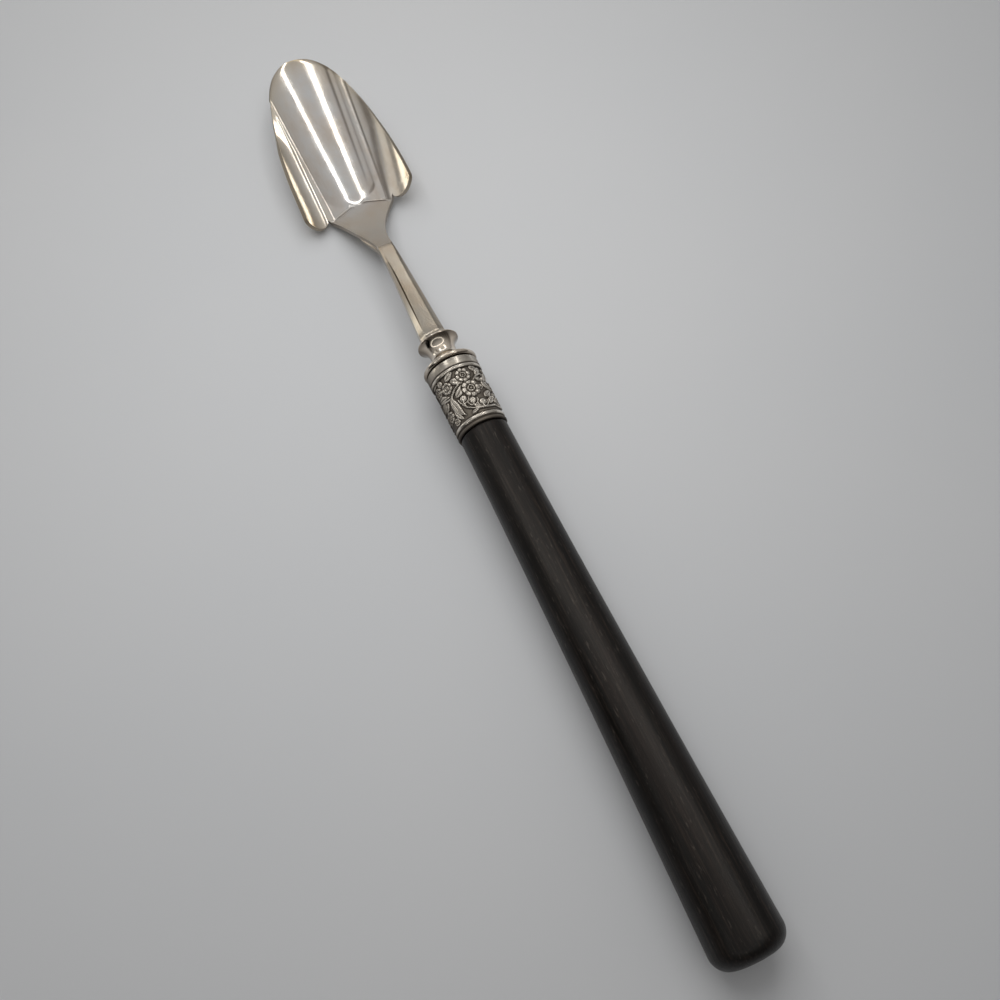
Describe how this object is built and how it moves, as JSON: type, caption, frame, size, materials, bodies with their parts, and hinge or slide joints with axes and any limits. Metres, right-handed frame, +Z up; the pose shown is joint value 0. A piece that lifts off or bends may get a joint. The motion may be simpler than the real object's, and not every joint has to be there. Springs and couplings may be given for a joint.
{
  "type": "cheese scoop",
  "caption": "Table cheese scoop: fluted plated bowl with swept-back ears on a faceted cranked stem, waisted collar, embossed ferrule and a turned tapering ebony handle.",
  "frame": {"origin": "centre of the bounding box in plan, on the table plane", "axes": "+X along the scoop from the handle's butt to the bowl's tip, +Z up as it lies on a table, +Y to the left"},
  "size_m": [0.246, 0.0306, 0.0172],
  "materials": {
    "ebony": "satin, fine lengthwise grain",
    "silver_plate": "worn silver plate over nickel silver, polished",
    "oxidised_silver_plate": "silver plate with dark oxidised ground",
    "cutlers_pitch": "dull resin"
  },
  "bodies": {
    "root": {"handle": "ebony", "tang_cement": "cutlers_pitch", "ferrule_sleeve": "oxidised_silver_plate", "ferrule_cap": "silver_plate", "bolster_collar": "silver_plate", "stem": "silver_plate", "scoop_bowl": "silver_plate"}
  },
  "joints": []
}
